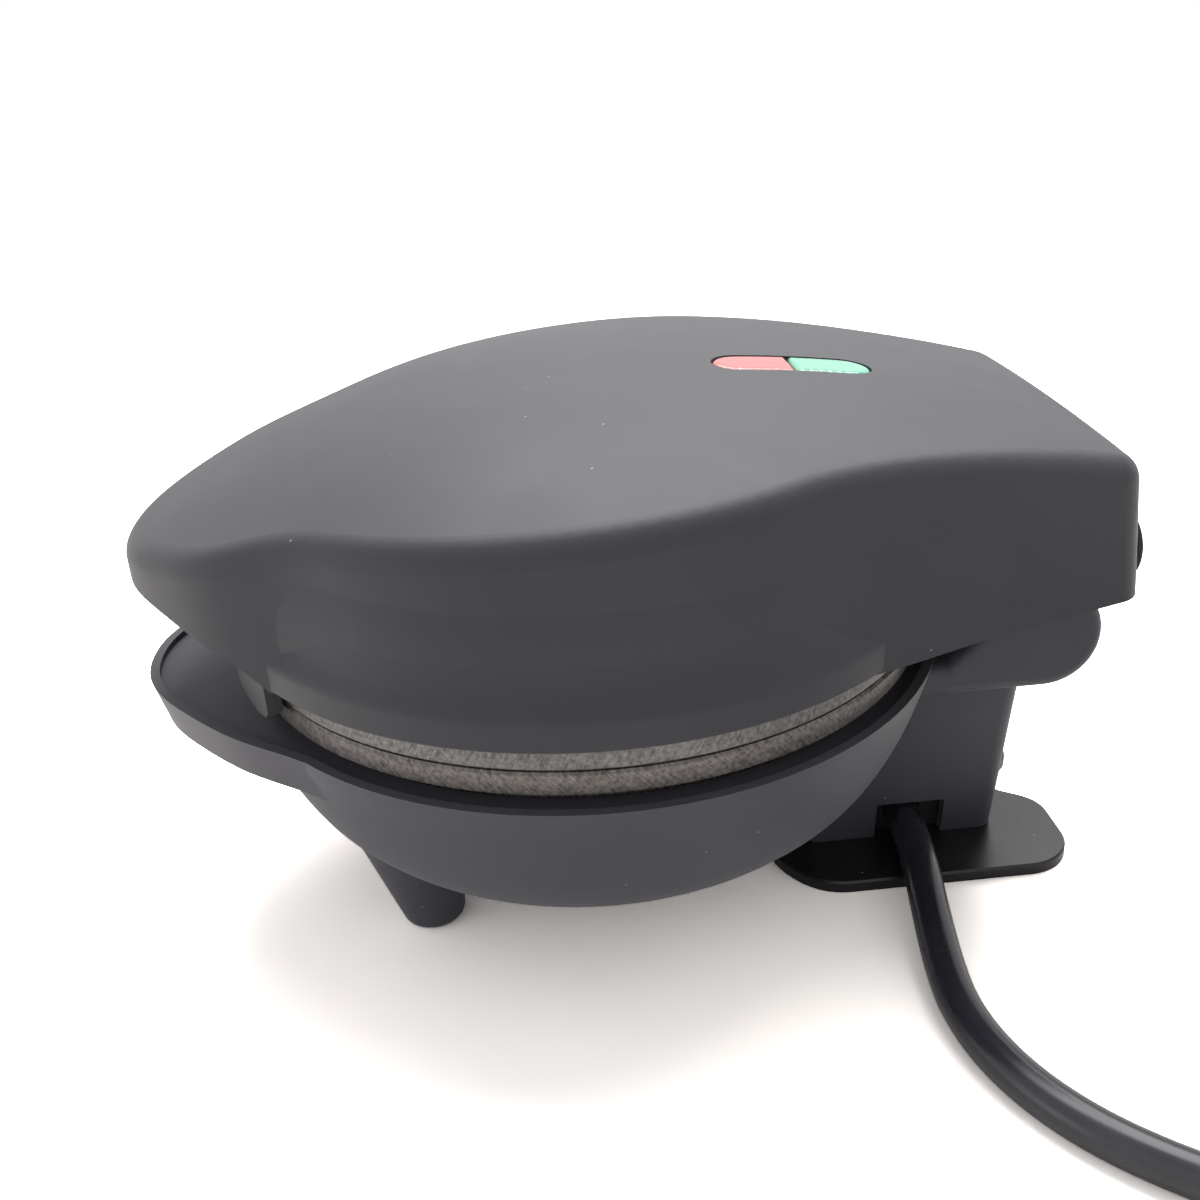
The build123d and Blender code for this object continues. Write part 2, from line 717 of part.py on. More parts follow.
def make_foot_plate():
    """Thin plate that closes the column and steadies the rear."""
    h, r, y0, y1 = foot_plate_half, foot_plate_corner, foot_plate_front_y, foot_plate_rear_y
    flank_y = 43.0
    front = Spline((h, flank_y), (h - 2.8, y0 + 4.6), (17.0, y0), tangents=[(0, -1), (-1, -0.35)])
    front_edge = Line((17.0, y0), (0, y0 - 1.5))
    side = Line((h, flank_y), (h, y1 - r))
    corner = CenterArc((h - r, y1 - r), r, 0, 90)
    lobe = (11.5, y1)
    notch = Spline(lobe, (4.7, y1 - 4.5), (0, y1 - foot_plate_notch), tangents=[(-1, 0), (-1, 0)])
    rear = Line((h - r, y1), lobe)
    plate = extrude(mirrored_face([front_edge, front, side, corner, rear, notch]), amount=foot_plate_t)
    plate = chamfer(plate.faces().sort_by(Axis.Z)[-1].edges(), 0.35)
    saddle_low, saddle_high = clamp_x
    saddle = block(saddle_low, saddle_high, clamp_screw_y[0] - 2.6, clamp_screw_y[1] + 2.6,
                   foot_plate_t - 0.5, cord_z - cord_radius)
    plate += saddle
    for y in clamp_screw_y:
        middle = (saddle_low + saddle_high) / 2
        plate += disc(2.6, foot_plate_t - 0.5, cord_z + cord_radius, middle, y)
        plate -= disc(1.1, foot_plate_t + 0.6, cord_z + cord_radius + 1, middle, y)
    for x, y in foot_screws:
        plate -= disc(screw_hole, -1, foot_plate_t + 1, x, y)
        plate -= disc(head_r + 0.3, -1, foot_screw_seat, x, y)
    return plate


clamp_x = (3.0, 9.0)
clamp_screw_y = (cord_y - 6.4, cord_y + 6.4)
foot_screw_seat = 1.2


def make_cord_clamp():
    low = cord_z + cord_radius
    bridge = block(clamp_x[0], clamp_x[1], clamp_screw_y[0] - 2.6, clamp_screw_y[1] + 2.6, low, low + 2.2)
    middle = sum(clamp_x) / 2
    for y in clamp_screw_y:
        bridge -= disc(1.4, low - 1, low + 3, middle, y)
    return bridge


def make_clamp_screws():
    low = cord_z + cord_radius
    middle = sum(clamp_x) / 2
    screws = []
    for y in clamp_screw_y:
        shank = disc(1.0, low - 5.0, low + 2.2, middle, y)
        head = disc(2.2, low + 2.2, low + 3.6, middle, y)
        slot = block(middle - 3, middle + 3, y - 0.3, y + 0.3, low + 2.9, low + 4)
        screws.append(shank + head - slot)
    return screws


def make_grommet():
    """Rubber block behind the open notch, which the lead comes through."""
    outer = column_half_low - wall - grommet_recess
    body = block(outer - grommet_depth, outer, notch_front_y - 1.2, notch_rear_y + 1.2, foot_plate_t + 0.02,
                 notch_top_z + 1.2)
    return body - rod_x(cord_radius + grommet_play, 0, 30, cord_y, cord_z)


# Lead: the free stretch, then a coil in two layers with its tie, then the plug

def coil_point(turn):
    """Point of the coil's middle line after so many turns."""
    angle = radians(coil_start_angle) + 2 * pi * turn
    climb_start = coil_turns / 2 - 0.25
    climb_end = coil_turns / 2 + 0.25
    inner = coil_outer - coil_pitch * climb_start
    low = cord_radius + coil_lift
    if turn <= climb_start:
        radius, z = coil_outer - coil_pitch * turn, low
    elif turn < climb_end:
        part = (turn - climb_start) / (climb_end - climb_start)
        radius = inner - coil_dip * sin(pi * part) ** 2
        z = low + coil_pitch * (1 - cos(pi * part)) / 2
    else:
        radius, z = inner + coil_pitch * (turn - climb_end), low + coil_pitch
    return Vector(coil_x + radius * cos(angle), coil_y + radius * sin(angle), z)


def coil_heading(turn):
    step = 0.002
    ahead = coil_point(min(turn + step, coil_turns))
    behind = coil_point(max(turn - step, 0.0))
    flat = ahead - behind
    if turn in (0.0, coil_turns):
        flat = Vector(flat.X, flat.Y, 0)
    return flat.normalized()


def biarc(p0, t0, p1, t1):
    """Two arcs that leave p0 along t0 and reach p1 along t1."""
    v = p1 - p0
    t = t0 + t1
    a = 2 * (1 - t0.dot(t1))
    b = v.dot(t)
    d = (-b + sqrt(b * b + a * v.dot(v))) / a
    first, last = p0 + t0 * d, p1 - t1 * d
    middle = (first + last) * 0.5
    return [TangentArc(p0, middle, tangent=t0), TangentArc(middle, p1, tangent=(last - first).normalized())]


def coil_wire():
    quarters = int(round(coil_turns * 4))
    stops = [coil_turns * i / quarters for i in range(quarters + 1)]
    points = [coil_point(s) for s in stops]
    headings = [coil_heading(s) for s in stops]
    lead = 2 * cord_radius
    edges = [Line(points[0] - headings[0] * lead, points[0])]
    for i in range(quarters):
        edges += biarc(points[i], headings[i], points[i + 1], headings[i + 1])
    edges.append(Line(points[-1], points[-1] + headings[-1] * lead))
    return Wire(edges)


def least_self_gap(wire, steps=900):
    """Least air gap between stretches of the tube that are not neighbours along it."""
    length = wire.length
    line = [tuple(wire @ (i / steps)) for i in range(steps + 1)]
    apart = int(steps * (8 * cord_radius) / length)
    least = min(dist(line[i], line[j]) for i in range(0, steps + 1, 2)
                for j in range(i + apart, steps + 1))
    return least - 2 * cord_radius


def make_coil():
    path = coil_wire()
    start = Plane(origin=path @ 0, z_dir=path % 0)
    tube = sweep(start * Circle(cord_radius), path=path)
    print("coil length", round(path.length, 1), "least gap to itself", round(least_self_gap(path), 2))
    return tube


coil_start = coil_point(0.0) - coil_heading(0.0) * (2 * cord_radius)
last_run = 9.5
lead_in = coil_start - coil_heading(0.0) * last_run
cord_route = (
    (cord_inner_x, cord_y, cord_z), (14.5, cord_y, cord_z), (28.0, 54.5, 5.9), (41.0, 52.4, 4.8),
    (52.0, 50.9, 3.9), (60.6, 50.4, 3.4), (69.5, 51.8, 3.25), (77.9, 55.1, 3.22), (85.4, 60.1, 3.2),
    (91.8, 66.5, 3.2), (97.5, 73.9, 3.3), (103.7, 81.6, 3.8), tuple(lead_in), tuple(coil_start),
)


def route_radii(points):
    """Bend radius at each corner: 0.45 of the shorter run, over the tangent of half the turn."""
    radii = []
    for before, here, after in zip(points, points[1:], points[2:]):
        a, b = Vector(*here) - Vector(*before), Vector(*after) - Vector(*here)
        half = radians(a.get_angle(b)) / 2
        radii.append(0.45 * min(a.length, b.length) / tan(half))
    return radii


def make_power_cord():
    radii = route_radii(cord_route)
    print("cord bend radii", [round(r) for r in radii])
    path = FilletPolyline(*cord_route, radius=radii)
    start = Plane(origin=path @ 0, z_dir=path % 0)
    tube = sweep(start * Circle(cord_radius), path=path)
    print("cord length", round(path.length, 1), "volume ratio",
          round(tube.volume / (pi * cord_radius ** 2 * path.length), 4))
    return tube


def make_tie():
    """Strap round the bundle of turns, as wide as the turns are where it sits."""
    crossings = []
    turn = ((tie_angle - coil_start_angle) % 360) / 360
    while turn < coil_turns:
        here = coil_point(turn)
        crossings.append((dist((here.X, here.Y), (coil_x, coil_y)), here.Z))
        turn += 1
    inner_r = min(r for r, z in crossings) - cord_radius - tie_play
    outer_r = max(r for r, z in crossings) + cord_radius + tie_play
    low = min(z for r, z in crossings) - cord_radius - tie_play
    high = max(z for r, z in crossings) + cord_radius + tie_play
    hole = RectangleRounded(outer_r - inner_r, high - low, 3.0)
    loop = RectangleRounded(outer_r - inner_r + 2 * tie_thickness, high - low + 2 * tie_thickness,
                            3.0 + tie_thickness) - hole
    strap = extrude(Plane.XZ * loop, amount=tie_width / 2, both=True)
    strap = Pos((inner_r + outer_r) / 2, 0, (low + high) / 2) * strap
    return Pos(coil_x, coil_y, 0) * Rot(0, 0, tie_angle) * strap


def plug_place():
    """Frame at the end of the coil: local X runs on along the lead."""
    end = coil_point(coil_turns) + coil_heading(coil_turns) * (2 * cord_radius)
    heading = coil_heading(coil_turns)
    return Plane(origin=(end.X, end.Y, 0), x_dir=(heading.X, heading.Y, 0), z_dir=(0, 0, 1)), end.Z


def make_plug():
    place, axis_z = plug_place()
    middle = sleeve_length + plug_radius - 1.5
    narrow, wide = cord_radius + 0.9, cord_radius + 3.4
    cone = loft([Plane.YZ * Circle(narrow), Pos(sleeve_length, 0, 0) * (Plane.YZ * Circle(wide))])
    for i in range(5):
        x = 4.5 + i * 4.6
        groove = Pos(x, 0, 0) * Rot(0, 90, 0) * (Cylinder(9, 1.6) - Cylinder(narrow - 0.2 + i * 0.45, 3))
        cone -= groove
    sleeve = Pos(0, 0, axis_z) * cone
    body = disc(plug_radius, 0.02, plug_height, middle, 0)
    body = fillet(body.faces().sort_by(Axis.Z)[0].edges(), 3.0)
    body = fillet(body.faces().sort_by(Axis.Z)[-1].edges(), 1.2)
    body -= sleeve & body
    pins, clips = [], []
    for side in (-1, 1):
        y = side * plug_pin_spacing / 2
        root = disc(plug_root_radius, plug_height - 8, plug_height + 0.5, middle, y)
        body -= root
        pin = disc(plug_pin_radius, plug_height, plug_height + plug_pin_length, middle, y)
        pins.append(fillet(pin.faces().sort_by(Axis.Z)[-1].edges(), 1.4) + root)
        x0 = middle + side * (plug_radius - 1.6)
        clip_box = block(x0 - 1.6, x0 + 1.6, -3.2, 3.2, plug_height - 12, plug_height + 1)
        body -= clip_box
        clips.append(block(x0 - side * 0.9 - 0.5, x0 - side * 0.9 + 0.5, -3.0, 3.0, plug_height - 12,
                           plug_height - 0.6))
    return [place.location * s for s in (sleeve, body)] + [[place.location * s for s in group]
                                                            for group in (pins, clips)]


# Parts inside the lid

def make_lens(side):
    """Half of the long window: side -1 is towards the grip."""
    gap = lens_gap
    whole = window_shape(window_length - 2 * gap, window_width - 2 * gap, holder_top_z, lid_high)
    y0, y1 = (window_y - 20, window_y - gap / 2) if side < 0 else (window_y + gap / 2, window_y + 20)
    half = whole & block(-10, 10, y0, y1, holder_top_z, lid_high)
    return half & (Pos(0, 0, -lens_drop) * crown)


lamp_offset = 6.6
lamp_radius = 2.9


def make_lamp_holder():
    low = holder_top_z - holder_height
    body = block(-7.0, 7.0, window_y - 14.6, window_y + 14.6, low, holder_top_z)
    for side in (-1, 1):
        y = window_y + side * holder_screw_offset
        ear = block(-3.2, 3.2, min(y, window_y + side * 14.0) - 3 * (side < 0),
                    max(y, window_y + side * 14.0) + 3 * (side > 0), holder_ear_z - 2, holder_ear_z)
        body += ear
        body -= disc(1.3, low - 1, holder_ear_z + 1, 0, y)
        body -= disc(lamp_radius + 0.1, low - 1, holder_top_z + 1, 0, window_y + side * lamp_offset)
    return body


def make_lamps():
    low = holder_top_z - holder_height - 2.0
    lamps = []
    for side in (-1, 1):
        lamp = disc(lamp_radius, low, holder_top_z - 1.0, 0, window_y + side * lamp_offset)
        lamps.append(fillet(lamp.faces().sort_by(Axis.Z)[-1].edges(), 2.4))
    return lamps


def make_holder_screws():
    screws = []
    for side in (-1, 1):
        y = window_y + side * holder_screw_offset
        low = holder_ear_z - 2
        screws.append(disc(1.0, low, holder_ear_z + 3.5, 0, y) + disc(2.2, low - 1.3, low, 0, y))
    return screws


thermostat_y = 19.0


def make_thermostat():
    body = disc(6.5, upper_over, upper_over + 4.6, 0, thermostat_y)
    neck = disc(4.4, upper_over + 4.6, upper_over + 5.4, 0, thermostat_y)
    return body + neck


def make_thermostat_bracket():
    low = upper_over + 5.4
    top = block(-9.5, 9.5, thermostat_y - 3.5, thermostat_y + 3.5, low, low + 0.8)
    legs = [block(x - 0.4, x + 0.4, thermostat_y - 3.5, thermostat_y + 3.5, upper_over, low + 0.8)
            for x in (-9.1, 9.1)]
    return top + legs[0] + legs[1]


fuse_y = 19.0
fuse_radius = 2.0


def make_fuse():
    z = lower_under - fuse_radius - 0.05
    return rod_x(fuse_radius, -7.5, 7.5, fuse_y, z) + rod_x(0.5, -12.5, 12.5, fuse_y, z)


def make_fuse_clip():
    z = lower_under - fuse_radius - 0.05
    saddle = block(-4.0, 4.0, fuse_y - 3.4, fuse_y + 3.4, lower_under - 5.2, lower_under)
    return saddle - rod_x(fuse_radius + 0.1, -9, 9, fuse_y, z)


block_x = (-11.6, -2.6)
block_y = (49.5, 63.5)
block_high = 14.2


def make_terminal_block():
    body = block(block_x[0], block_x[1], block_y[0], block_y[1], foot_plate_t, block_high)
    for y in (52.0, 56.5, 61.0):
        body -= disc(1.5, block_high - 4, block_high + 1, -4.8, y)
    return body


def make_terminal_screws():
    return [disc(1.4, block_high - 4, block_high - 1.0, -4.8, y) for y in (52.0, 56.5, 61.0)]


def make_earth_tab():
    """Spade tag under the element bar's screw, where the earth wire lands."""
    z = lower_bar_z - bar_t
    tab = block(-3.2, 3.2, -14.0, 4.0, z - 0.8, z)
    return tab - disc(screw_hole, z - 2, z + 1)


def make_base_wires():
    top = block_high
    z = lower_under - heater_tube
    pin_end = heater_end_y + cold_pin_length
    wires = []
    for x, y in ((-heater_exit_x, 52.0), (heater_exit_x, 55.6)):
        points = ((-9.4, y, top), (-9.4, y, top + 3), (x, 58.8, z - 8), (x, 58.8, z), (x, pin_end, z))
        wires.append(wire_tube(points, 1.1, [3.0, 2.4, 2.4]))
    return wires


sleeve_radius = 2.4


def make_base_sleeve():
    """Braided sleeve with the wires that go up to the lid, as far as the hinge line."""
    points = ((-8.4, 60.8, block_high), (-8.4, 60.8, block_high + 7), (0, 66.2, 31.0), (0, 66.2, 42.4),
              (0, hinge_y - 2.9, hinge_z - 1.4))
    return wire_tube(points, sleeve_radius, [6.0, 6.0, 4.0])


def make_lid_sleeve():
    """The same wires from the hinge line up through the lid frame."""
    up = wire_tube(((0, hinge_y, hinge_z), (0, hinge_y, frame_top + 2), (0, hinge_y - 9, frame_top + 6)),
                   sleeve_radius, [5.0])
    return up + Pos(0, hinge_y, hinge_z) * Sphere(sleeve_radius)


def make_lid_wires():
    z = upper_over + heater_tube
    pin_end = heater_end_y + cold_pin_length
    end = Vector(0, hinge_y - 9, frame_top + 6)
    wires = []
    for side in (-1, 1):
        x = side * heater_exit_x
        points = ((x, pin_end, z), (x, pin_end + 3, z), (x, pin_end + 3, frame_top + 5),
                  (side * 1.2, end.Y - 1.0, end.Z))
        wires.append(wire_tube(points, 1.0, [1.8, 2.0]))
    low = holder_top_z - holder_height - 2.0
    for side in (-1, 1):
        y = window_y + side * lamp_offset
        points = ((side * 0.8, y, low), (side * 0.8, y, low - 3), (side * 2.4, end.Y - 8, end.Z + 3.4),
                  (side * 1.4, end.Y - 1.0, end.Z + 1.9))
        wires.append(wire_tube(points, 0.5, [1.2, 1.2]))
    return wires


def make_bumpers():
    """Two rubber studs on the rear face, which the lid rests on when it stands on end."""
    bumpers = []
    for side in (-1, 1):
        stud = extrude(Circle(bumper_radius), amount=bumper_height)
        stud = fillet(stud.faces().sort_by(Axis.Z)[-1].edges(), bumper_height * 0.8)
        stud += Pos(0, 0, -lid_wall - 1.0) * extrude(Circle(1.4), amount=lid_wall + 1.0)
        bumpers.append(Pos(side * bumper_x, lid_rear_y, bumper_z) * Rot(-90, 0, 0) * stud)
    return bumpers


def main():
    os.makedirs("parts", exist_ok=True)
    shell = make_lid_shell()
    bumpers = make_bumpers()
    for stud in bumpers:
        shell -= stud
    lid_rear_reach = lid_rear_y + bumper_height
    plug_sleeve, plug_body, plug_pins, plug_clips = make_plug()
    lower_screws = [screw(*on_ring(screw_ring, a), screw_head_z, lower_under + 0.8, -1) for a in lower_angles]
    upper_screws = [screw(*on_ring(screw_ring, a), frame_top + reflector_t, upper_over - 0.8, 1)
                    for a in upper_angles]
    lid_screws = []
    for x, y in (grip_screw, rear_screw):
        for side in (-1, 1):
            lid_screws.append(screw(side * x, y, frame_z, frame_top + 5.5, -1))
    sub_parts = {
        "base_housing": make_base_housing(),
        "foot_plate": make_foot_plate(),
        "foot_plate_screws": [screw(x, y, foot_screw_seat, 11.5, -1) & block(-60, 60, 0, 90, 0.05, 90)
                              for x, y in foot_screws],
        "lower_plate": make_lower_plate(),
        "lower_plate_rim": make_lower_rim(),
        "lower_plate_screws": lower_screws,
        "lower_heater": heater(lower_under - heater_tube),
        "lower_element_bar": bar(lower_bar_z - bar_t),
        "lower_bar_screw": screw(0, 0, lower_bar_z - bar_t - 0.8, lower_under + 0.8, -1),
        "lower_reflector": make_lower_shield(),
        "thermal_fuse": make_fuse(),
        "fuse_clip": make_fuse_clip(),
        "earth_tab": make_earth_tab(),
        "terminal_block": make_terminal_block(),
        "terminal_screws": make_terminal_screws(),
        "base_wires": make_base_wires(),
        "base_wire_sleeve": make_base_sleeve(),
        "cord_clamp": make_cord_clamp(),
        "cord_clamp_screws": make_clamp_screws(),
        "cord_grommet": make_grommet(),
        "hinge_pins": both_sides(rod_x(pin_radius, web_in_x, pin_end_x, hinge_y, hinge_z)),
        "hinge_washers": both_sides(rod_x(washer_radius, web_out_x + 0.1, web_out_x + 0.1 + washer_thickness,
                                          hinge_y, hinge_z)
                                    - rod_x(pin_radius + 0.1, 0, 40, hinge_y, hinge_z)),
        "lid_shell": shell,
        "lid_frame": make_lid_frame(),
        "lid_screws": lid_screws,
        "upper_plate": make_upper_plate(),
        "upper_plate_rim": make_upper_rim(),
        "upper_plate_screws": upper_screws,
        "upper_heater": heater(upper_over + heater_tube),
        "upper_element_bar": bar(upper_bar_z),
        "upper_bar_screw": screw(0, 0, upper_bar_z + bar_t, upper_over - 0.8, 1),
        "upper_reflector": make_upper_shield(),
        "thermostat": make_thermostat(),
        "thermostat_bracket": make_thermostat_bracket(),
        "red_lens": make_lens(-1),
        "green_lens": make_lens(1),
        "lamp_holder": make_lamp_holder(),
        "lamp_holder_screws": make_holder_screws(),
        "neon_lamps": make_lamps(),
        "lid_wires": make_lid_wires(),
        "lid_wire_sleeve": make_lid_sleeve(),
        "rear_bumpers": bumpers,
        "power_cord": make_power_cord(),
        "cord_coil": make_coil(),
        "cord_tie": make_tie(),
        "plug_sleeve": plug_sleeve,
        "plug_body": plug_body,
        "plug_pins": plug_pins,
        "plug_earth_clips": plug_clips,
    }
    middle_y = (lid_rear_reach - tongue_reach) / 2
    print("plate axis at y", round(-middle_y, 3), "hinge at y", round(hinge_y - middle_y, 3), "z", hinge_z)
    to_origin = Pos(0, -middle_y, 0)
    for node, shape in sub_parts.items():
        pieces = shape if isinstance(shape, list) else [shape]
        solids = [to_origin * solid for piece in pieces for solid in piece.solids()]
        export_step(solids[0] if len(solids) == 1 else Compound(children=solids), f"parts/{node}.step")


main()
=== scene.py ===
# %% [markdown]
# # A one-waffle maker in soft-touch charcoal
# The real one is a small countertop cooker: a deep plastic bowl on two front feet and a rear
# column, a lid hinged at the rear, and two pegged cooking plates between them. The hard parts
# come packed from CAD, at their real size, so this lesson is about what CAD leaves out:
# the lead's flowing line, the ribbed pilot lights and, above all, the finishes.

# %%
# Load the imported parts
import math

import bpy
import bmesh
from mathutils import Matrix, Vector


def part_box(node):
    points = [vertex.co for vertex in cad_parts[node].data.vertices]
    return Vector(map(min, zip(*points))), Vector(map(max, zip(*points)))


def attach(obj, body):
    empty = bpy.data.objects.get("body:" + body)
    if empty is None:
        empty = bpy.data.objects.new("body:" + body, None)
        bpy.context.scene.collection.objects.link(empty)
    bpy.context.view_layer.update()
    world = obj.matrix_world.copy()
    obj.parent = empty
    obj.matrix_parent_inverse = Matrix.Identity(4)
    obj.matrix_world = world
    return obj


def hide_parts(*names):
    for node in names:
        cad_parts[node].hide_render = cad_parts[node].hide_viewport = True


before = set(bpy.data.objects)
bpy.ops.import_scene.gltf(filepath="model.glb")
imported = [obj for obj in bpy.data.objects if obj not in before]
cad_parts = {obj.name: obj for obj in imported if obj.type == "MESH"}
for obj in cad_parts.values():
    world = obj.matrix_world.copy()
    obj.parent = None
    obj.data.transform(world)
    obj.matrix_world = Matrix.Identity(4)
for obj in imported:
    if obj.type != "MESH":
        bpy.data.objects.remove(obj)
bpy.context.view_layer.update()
scene = bpy.context.scene
MM = 0.001
FRAME_SHIFT_Y = -4.85  # from the plates' axis, where the photograph was measured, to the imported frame
PLATE_Y = FRAME_SHIFT_Y * MM
WAVE_REPEAT = 0.314  # a wave texture at scale 1 repeats after this length

# %% [markdown]
# ## The camera
# The photograph was taken with a phone held low on the lead's side, close enough for strong
# perspective. Its place was solved from the round rims, the foot plate and the hinge. Only
# heading, pitch and a small roll are needed, so they are written as angles and turned into
# the camera's axes.

# %%
# Place the camera
CAMERA_AT = Vector((208.24, -15.95, 147.98)) * MM
YAW = 0.06546
PITCH = 0.44398
ROLL = -0.05654
FOCAL_PX = 1290.18
IMAGE_PX = 1200
SENSOR_MM = 36.0

forward = Vector((-math.cos(YAW) * math.cos(PITCH), math.sin(YAW) * math.cos(PITCH), -math.sin(PITCH)))
level_right = forward.cross(Vector((0, 0, 1))).normalized()
level_up = level_right.cross(forward)
right = level_right * math.cos(ROLL) + level_up * math.sin(ROLL)
up = level_up * math.cos(ROLL) - level_right * math.sin(ROLL)

bpy.ops.object.camera_add(location=CAMERA_AT)
camera = bpy.context.object
camera.rotation_euler = Matrix((right, up, -forward)).transposed().to_euler()
camera.data.sensor_width = SENSOR_MM
camera.data.lens = FOCAL_PX / IMAGE_PX * SENSOR_MM
camera.data.clip_start = 0.01
scene.camera = camera
print("lens, mm:", round(camera.data.lens, 2))

# %% [markdown]
# ## Two small tools
# A hex colour is what a colour chart or a paint tin gives, but Cycles works in linear light,
# so one function converts. The other adds a shader node with its settings and its links in
# one line, which keeps each material readable as a list.

# %%
# Colour and node helpers
def linear(hex_colour):
    """sRGB hex to the linear RGBA that the shaders use."""
    channels = []
    for i in (0, 2, 4):
        value = int(hex_colour[i:i + 2], 16) / 255
        channels.append(value / 12.92 if value <= 0.04045 else ((value + 0.055) / 1.055) ** 2.4)
    return (*channels, 1.0)


def add_node(tree, kind, inputs=None, **settings):
    """Add a node; an input is given a value, or the socket it is linked to."""
    made = tree.nodes.new(kind)
    for name, value in settings.items():
        setattr(made, name, value)
    for name, value in (inputs or {}).items():
        if isinstance(value, bpy.types.NodeSocket):
            tree.links.new(value, made.inputs[name])
        else:
            made.inputs[name].default_value = value
    return made


def start_material(name, **shader_values):
    """A new material with its Principled shader, and the coordinates of the piece itself."""
    material = bpy.data.materials.new(name)
    material.use_nodes = True
    tree = material.node_tree
    shader = tree.nodes["Principled BSDF"]
    for socket, value in shader_values.items():
        shader.inputs[socket.replace("_", " ")].default_value = value
    place = add_node(tree, "ShaderNodeTexCoord").outputs["Object"]
    return material, tree, shader, place


def grain(tree, place, size_mm, detail=2.0, stretch=(1, 1, 1)):
    """Noise whose blotches are about size_mm across; stretch lengthens them along an axis."""
    scaled = add_node(tree, "ShaderNodeMapping", {"Vector": place, "Scale": tuple(1 / s for s in stretch)})
    return add_node(tree, "ShaderNodeTexNoise", {
        "Vector": scaled.outputs["Vector"], "Scale": 1 / (size_mm * MM), "Detail": detail}).outputs["Fac"]


def between(tree, factor, low, high, start=0.35, end=0.65):
    """Spread a factor from start..end to the values low..high."""
    spread = add_node(tree, "ShaderNodeMapRange", {
        "Value": factor, "From Min": start, "From Max": end, "To Min": low, "To Max": high})
    return spread.outputs["Result"]


def multiply(tree, first, second):
    """The product of two values, each a socket or a number."""
    return add_node(tree, "ShaderNodeMath", {0: first, 1: second}, operation="MULTIPLY").outputs["Value"]


def blend_colour(tree, factor, first, second, start=0.35, end=0.65):
    """Mix two hex colours by a pattern."""
    ramp = add_node(tree, "ShaderNodeValToRGB", {"Fac": factor})
    ramp.color_ramp.elements[0].position = start
    ramp.color_ramp.elements[1].position = end
    ramp.color_ramp.elements[0].color = linear(first)
    ramp.color_ramp.elements[1].color = linear(second)
    return ramp.outputs["Color"]


def overlay(tree, factor, colour, hex_colour):
    """Lay a plain hex colour over a pattern's colour where the factor is 1."""
    mixed = add_node(tree, "ShaderNodeMix", {"Factor": factor, "A": colour, "B": linear(hex_colour)},
                     data_type="RGBA")
    return mixed.outputs["Result"]


def relief(tree, shader, height, depth_mm, strength):
    """Raise the surface by a pattern, depth_mm from its lowest to its highest."""
    bump = add_node(tree, "ShaderNodeBump", {
        "Height": height, "Distance": depth_mm * MM, "Strength": strength})
    tree.links.new(bump.outputs["Normal"], shader.inputs["Normal"])


# %% [markdown]
# ## The lead
# The lead is a round PVC cable, 6.4 mm thick and about 0.8 m long in all. It leaves the
# column's notch, lies on the table in one loose curve out of the picture, and the rest is put
# away in a two-layer coil. A NURBS curve of low order through a few control points gives the
# slack, even line of a real cable. The coil's points come from a formula, 24 to a turn.

# %%
# The lead's centre line
CORD_RADIUS = 3.2
COIL_CENTRE = (93.0, 127.0)
COIL_OUTER = 37.8
COIL_PITCH = 7.05
COIL_LIFT = 1.2
COIL_TURNS = 3.36
COIL_START = -40.0
COIL_DIP = 2.9
CLIMB_TURNS = 0.5
HEADING_STEP = 0.002
POINTS_PER_TURN = 24
EXIT_Y = 55.8
EXIT_Z = 6.4
APPROACH = (15.9, 6.4)
RUN_OUT = (6.4, 9.0)


def coil_point(turn):
    """Middle of the cable after so many turns: inwards on the table, then outwards on top."""
    angle = math.radians(COIL_START) + 2 * math.pi * turn
    climb_start = (COIL_TURNS - CLIMB_TURNS) / 2
    climb_end = (COIL_TURNS + CLIMB_TURNS) / 2
    inner = COIL_OUTER - COIL_PITCH * climb_start
    low = CORD_RADIUS + COIL_LIFT
    if turn <= climb_start:
        radius, z = COIL_OUTER - COIL_PITCH * turn, low
    elif turn < climb_end:
        part = (turn - climb_start) / (climb_end - climb_start)
        radius = inner - COIL_DIP * math.sin(math.pi * part) ** 2
        z = low + COIL_PITCH * (1 - math.cos(math.pi * part)) / 2
    else:
        radius, z = inner + COIL_PITCH * (turn - climb_end), low + COIL_PITCH
    middle_x, middle_y = COIL_CENTRE
    return Vector((middle_x + radius * math.cos(angle), middle_y + radius * math.sin(angle), z))


first_heading = (coil_point(HEADING_STEP) - coil_point(0)).normalized()
last_heading = (coil_point(COIL_TURNS) - coil_point(COIL_TURNS - HEADING_STEP)).normalized()
coil_stops = round(COIL_TURNS * POINTS_PER_TURN)
free_run = [Vector(p) for p in (
    (1.0, EXIT_Y, EXIT_Z), (14.5, EXIT_Y, EXIT_Z), (28.0, 54.5, 5.9), (41.0, 52.4, 4.8),
    (52.0, 50.9, 3.9), (60.6, 50.4, 3.4), (69.5, 51.8, 3.25), (77.9, 55.1, 3.22), (85.4, 60.1, 3.2),
    (91.8, 66.5, 3.2), (97.5, 73.9, 3.3), (103.7, 81.6, 3.8))]
free_run += [coil_point(0) - first_heading * reach for reach in APPROACH]
coil_run = [coil_point(COIL_TURNS * i / coil_stops) for i in range(coil_stops + 1)]
tail_run = [coil_point(COIL_TURNS) + last_heading * reach for reach in RUN_OUT]
lead_points = [(p + Vector((0, FRAME_SHIFT_Y, 0))) * MM for p in free_run + coil_run + tail_run]
print("control points of the lead:", len(lead_points))

# %% [markdown]
# Blender grows a curve's box by the radius of its points, 1 m unless told otherwise, so the
# cable's thickness goes on the points and the bevel stays at 1.

